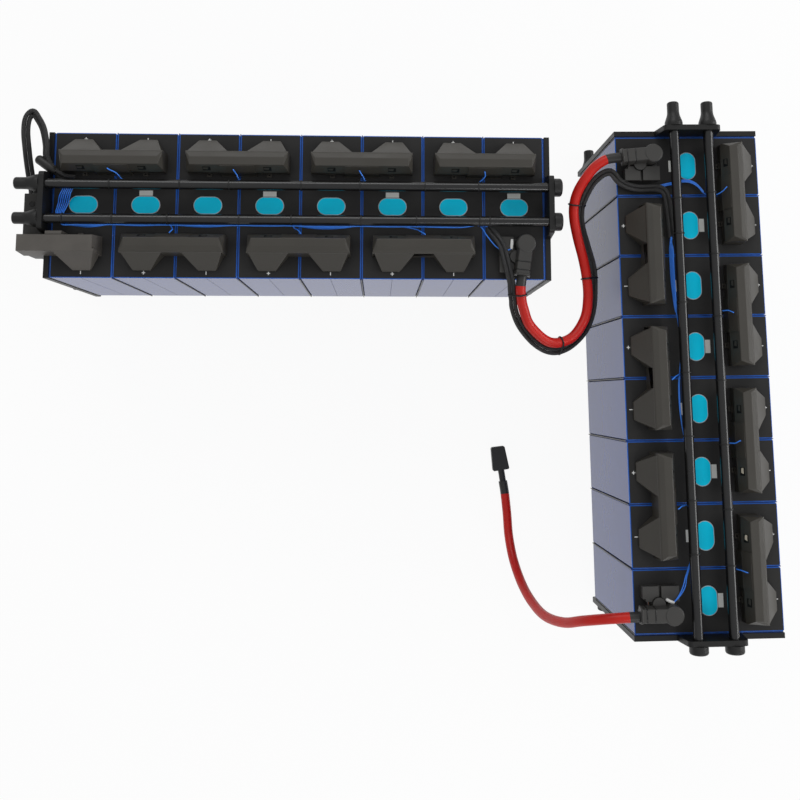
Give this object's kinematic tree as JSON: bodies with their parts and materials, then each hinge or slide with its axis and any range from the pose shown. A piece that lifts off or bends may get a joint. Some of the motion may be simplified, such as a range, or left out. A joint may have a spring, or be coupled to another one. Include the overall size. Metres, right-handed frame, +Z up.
{
  "type": "lithium iron phosphate battery",
  "caption": "Two clamped packs of prismatic cells standing in an L, with busbar covers along their tops, joined by a power link and a sensing harness.",
  "frame": {"origin": "middle of the bounding box, on the floor the end plates stand on", "axes": "+X along the first pack toward the second, +Y from the first pack's terminal side with the end cover to its other side, +Z up"},
  "size_m": [0.8918, 0.6404, 0.2553],
  "materials": {
    "cell_film": "blue film shrunk over an aluminium can",
    "cover_plastic": "dark grey moulded plastic, fine grain",
    "plate_board": "black laminate, sawn edges",
    "spacer_board": "black laminate",
    "top_sheet": "black satin sheet",
    "vent_foil": "cyan foil with a bare rim",
    "steel": "zinc plated",
    "sleeve": "black, smooth",
    "cap_plastic": "black moulded caps",
    "copper": "bare copper",
    "boot_rubber": "dark moulded rubber",
    "block_plastic": "dark moulded plastic",
    "box_plastic": "black moulded plastic",
    "plug_plastic": "light grey moulded plastic",
    "red_cable": "red silicone insulation",
    "braid": "braided black sleeve",
    "tie_nylon": "black nylon"
  },
  "bodies": {
    "root": {"cell_a1": "cell_film", "cell_a2": "cell_film", "cell_a3": "cell_film", "cell_a4": "cell_film", "cell_a5": "cell_film", "cell_a6": "cell_film", "cell_a7": "cell_film", "cell_a8": "cell_film", "cell_b1": "cell_film", "cell_b2": "cell_film", "cell_b3": "cell_film", "cell_b4": "cell_film", "cell_b5": "cell_film", "cell_b6": "cell_film", "cell_b7": "cell_film", "cell_b8": "cell_film", "cover_a_back_1": "cover_plastic", "cover_a_back_2": "cover_plastic", "cover_a_back_3": "cover_plastic", "cover_a_back_4": "cover_plastic", "cover_a_front_1": "cover_plastic", "cover_a_front_2": "cover_plastic", "cover_a_front_3": "cover_plastic", "end_cover": "cover_plastic", "cover_b_inner_1": "cover_plastic", "cover_b_inner_2": "cover_plastic", "cover_b_inner_3": "cover_plastic", "cover_b_outer_1": "cover_plastic", "cover_b_outer_2": "cover_plastic", "cover_b_outer_3": "cover_plastic", "cover_b_outer_4": "cover_plastic", "plates_a": "plate_board", "plates_b": "plate_board", "boards_a": "spacer_board", "boards_b": "spacer_board", "top_sheets_a": "top_sheet", "top_sheets_b": "top_sheet", "vents_a": "vent_foil", "vents_b": "vent_foil", "rods_a": "steel", "rods_b": "steel", "sleeves_a": "sleeve", "sleeves_b": "sleeve", "nut_caps": "cap_plastic", "head_caps": "cap_plastic", "rod_nuts": "steel", "busbars_a": "copper", "busbars_b": "copper", "terminal_nuts": "steel", "boots": "boot_rubber", "boot_blocks": "block_plastic", "cable_lugs": "copper", "control_box": "box_plastic", "box_plug": "plug_plastic", "link_cable": "red_cable", "output_cable": "red_cable", "output_lug_cover": "boot_rubber", "harness_loom": "braid", "loop_cable": "braid", "rod_ties": "tie_nylon"}
  },
  "joints": []
}
